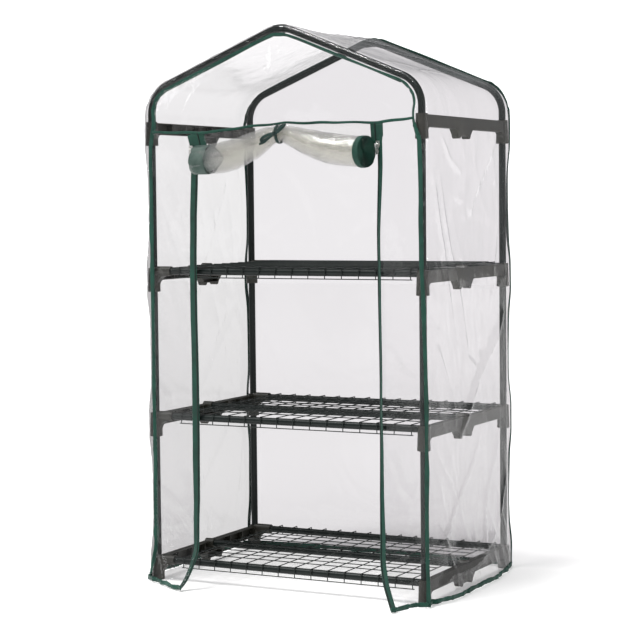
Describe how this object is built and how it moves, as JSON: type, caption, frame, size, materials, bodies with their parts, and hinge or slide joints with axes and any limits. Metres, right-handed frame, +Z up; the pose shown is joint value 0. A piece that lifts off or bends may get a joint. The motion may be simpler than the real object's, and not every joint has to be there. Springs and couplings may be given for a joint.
{
  "type": "mini greenhouse",
  "caption": "Tiered shelf greenhouse: a push-fit tube frame with a gabled top, wire mesh shelves and a clear zipped film cover whose door is rolled up and tied.",
  "frame": {"origin": "bottom centre of the whole object, on the ground it stands on", "axes": "+Z up, -Y out of the door side, +X to the right as one faces the door"},
  "size_m": [0.7068, 0.5628, 1.2525],
  "materials": {
    "frame_tube": "satin dark green-black powder coat",
    "bracket_plastic": "matte moulded",
    "shelf_wire": "satin dark green-black coat",
    "clear_film": "clear glossy PVC film",
    "binding_tape": "woven polyester binding",
    "zip_tape": "woven zip tape",
    "rolled_film": "clear film in many layers",
    "tie_ribbon": "woven ribbon",
    "slider_metal": "bright painted",
    "pull_metal": "satin dark green"
  },
  "bodies": {
    "frame": {"post_front_left_lower": "frame_tube", "post_front_left_middle": "frame_tube", "post_front_left_upper": "frame_tube", "post_front_right_lower": "frame_tube", "post_front_right_middle": "frame_tube", "post_front_right_upper": "frame_tube", "post_back_left_lower": "frame_tube", "post_back_left_middle": "frame_tube", "post_back_left_upper": "frame_tube", "post_back_right_lower": "frame_tube", "post_back_right_middle": "frame_tube", "post_back_right_upper": "frame_tube", "roof_bow_front_left": "frame_tube", "roof_bow_front_right": "frame_tube", "roof_bow_back_left": "frame_tube", "roof_bow_back_right": "frame_tube", "bracket_left_lower": "bracket_plastic", "bracket_left_middle": "bracket_plastic", "bracket_left_upper": "bracket_plastic", "bracket_left_eave": "bracket_plastic", "bracket_right_lower": "bracket_plastic", "bracket_right_middle": "bracket_plastic", "bracket_right_upper": "bracket_plastic", "bracket_right_eave": "bracket_plastic", "crossbar_front_lower": "frame_tube", "crossbar_front_middle": "frame_tube", "crossbar_front_upper": "frame_tube", "crossbar_middle_lower": "frame_tube", "crossbar_middle_middle": "frame_tube", "crossbar_middle_upper": "frame_tube", "crossbar_back_lower": "frame_tube", "crossbar_back_middle": "frame_tube", "crossbar_back_upper": "frame_tube"},
    "cover": {"film_side_left": "clear_film", "film_side_right": "clear_film", "film_roof_left": "clear_film", "film_roof_right": "clear_film", "film_back": "clear_film", "film_front_gable": "clear_film", "film_front_left": "clear_film", "film_front_right": "clear_film", "binding_front_left": "binding_tape", "binding_front_right": "binding_tape", "binding_back_left": "binding_tape", "binding_back_right": "binding_tape", "binding_header": "binding_tape", "zip_tape_left": "zip_tape", "zip_tape_right": "zip_tape", "floor_hem": "binding_tape"},
    "door": {"door_roll": "rolled_film", "door_strip": "clear_film", "door_tie": "tie_ribbon"},
    "shelf_lower": {"shelf_mesh_lower": "shelf_wire"},
    "shelf_middle": {"shelf_mesh_middle": "shelf_wire"},
    "shelf_upper": {"shelf_mesh_upper": "shelf_wire"},
    "slider_left": {"zip_slider_left": "slider_metal"},
    "pull_left": {"zip_pull_left": "pull_metal"},
    "slider_right": {"zip_slider_right": "slider_metal"},
    "pull_right": {"zip_pull_right": "pull_metal"}
  },
  "joints": [
    {"name": "cover_lift", "type": "slide", "parent": "frame", "child": "cover", "axis": [0, 0, 1], "range_m": [0, 1.3]},
    {"name": "shelf_lower_lift", "type": "slide", "parent": "frame", "child": "shelf_lower", "axis": [0, 0, 1], "range_m": [0, 0.12]},
    {"name": "shelf_middle_lift", "type": "slide", "parent": "frame", "child": "shelf_middle", "axis": [0, 0, 1], "range_m": [0, 0.12]},
    {"name": "shelf_upper_lift", "type": "slide", "parent": "frame", "child": "shelf_upper", "axis": [0, 0, 1], "range_m": [0, 0.12]},
    {"name": "zip_left_slide", "type": "slide", "parent": "cover", "child": "slider_left", "axis": [0, 0, -1], "range_m": [0, 0.86]},
    {"name": "pull_left_swing", "type": "hinge", "parent": "slider_left", "child": "pull_left", "pos_m": [-0.221, -0.2123, 0.985], "axis": [-1, 0, 0], "range_deg": [0, 150]},
    {"name": "zip_right_slide", "type": "slide", "parent": "cover", "child": "slider_right", "axis": [0, 0, -1], "range_m": [0, 0.86]},
    {"name": "pull_right_swing", "type": "hinge", "parent": "slider_right", "child": "pull_right", "pos_m": [0.242, -0.2123, 0.985], "axis": [-1, 0, 0], "range_deg": [0, 150]},
    {"name": "door_swing", "type": "hinge", "parent": "cover", "child": "door", "pos_m": [0.0105, -0.2054, 1.032], "axis": [-1, 0, 0], "range_deg": [0, 60]}
  ]
}
